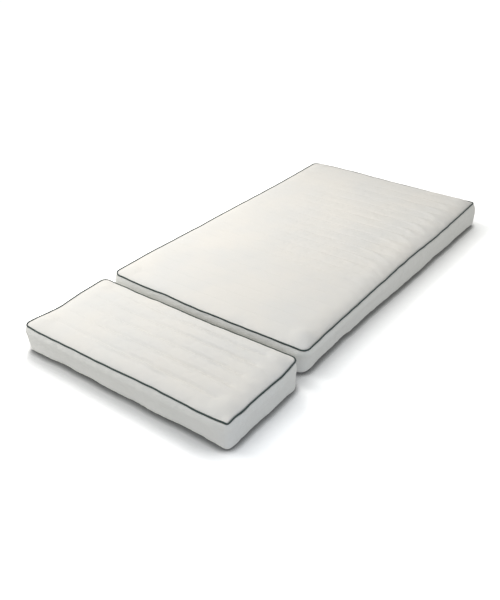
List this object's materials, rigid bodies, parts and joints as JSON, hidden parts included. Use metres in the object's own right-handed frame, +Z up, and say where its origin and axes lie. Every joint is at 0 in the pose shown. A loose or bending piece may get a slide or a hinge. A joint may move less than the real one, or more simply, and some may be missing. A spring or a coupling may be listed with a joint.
{
  "type": "two-section child's mattress",
  "caption": "Child's mattress in two sections, a long one and a short extension, each a foam core in a quilted, piped and zipped cover.",
  "frame": {"origin": "middle of the main section's underside", "axes": "+Y along the mattress's length, away from the extension; +Z up out of the sleeping surface; +X to the side without the zips"},
  "size_m": [0.7205, 1.428, 0.1017],
  "materials": {
    "quilt_fabric": "fine woven cotton, channel quilted over wadding",
    "border_fabric": "plain woven cotton, smooth",
    "base_fabric": "plain woven backing",
    "piping": "dark green-grey twill over cord",
    "foam": "open-cell polyurethane foam",
    "wadding": "soft polyester fibre wadding",
    "zip_tape": "ribbed woven tape",
    "zip_chain": "nylon coil",
    "zip_metal": "nickel-plated, slightly worn"
  },
  "bodies": {
    "main_section": {"main_base_panel": "base_fabric", "main_foam_core": "foam", "main_comfort_layer": "wadding", "main_side_border": "border_fabric", "main_piping": "piping", "main_quilted_top": "quilt_fabric", "main_zip_tape_upper": "zip_tape", "main_zip_tape_lower": "zip_tape", "main_zip_chain": "zip_chain", "main_zip_closed_stop": "zip_metal", "main_zip_open_stop": "zip_metal"},
    "main_zip_slider": {"main_zip_slider": "zip_metal"},
    "main_zip_pull": {"main_zip_pull": "zip_metal"},
    "extension_section": {"extension_base_panel": "base_fabric", "extension_foam_core": "foam", "extension_comfort_layer": "wadding", "extension_side_border": "border_fabric", "extension_piping": "piping", "extension_quilted_top": "quilt_fabric", "extension_zip_tape_upper": "zip_tape", "extension_zip_tape_lower": "zip_tape", "extension_zip_chain": "zip_chain", "extension_zip_closed_stop": "zip_metal", "extension_zip_open_stop": "zip_metal"},
    "extension_zip_slider": {"extension_zip_slider": "zip_metal"},
    "extension_zip_pull": {"extension_zip_pull": "zip_metal"}
  },
  "joints": [
    {"name": "extension_slide", "type": "slide", "parent": "main_section", "child": "extension_section", "axis": [0, 1, 0], "range_m": [-0.3, 0.0277]},
    {"name": "main_zip_travel", "type": "slide", "parent": "main_section", "child": "main_zip_slider", "axis": [0, -1, 0], "range_m": [0, 0.9215]},
    {"name": "main_zip_pull_swing", "type": "hinge", "parent": "main_zip_slider", "child": "main_zip_pull", "pos_m": [-0.35105, 0.4609, 0.038], "axis": [0, 0, -1], "range_deg": [0, 180]},
    {"name": "extension_zip_travel", "type": "slide", "parent": "extension_section", "child": "extension_zip_slider", "axis": [0, -1, 0], "range_m": [0, 0.1915]},
    {"name": "extension_zip_pull_swing", "type": "hinge", "parent": "extension_zip_slider", "child": "extension_zip_pull", "pos_m": [-0.33405, -0.6321, 0.038], "axis": [0, 0, -1], "range_deg": [0, 180]}
  ]
}
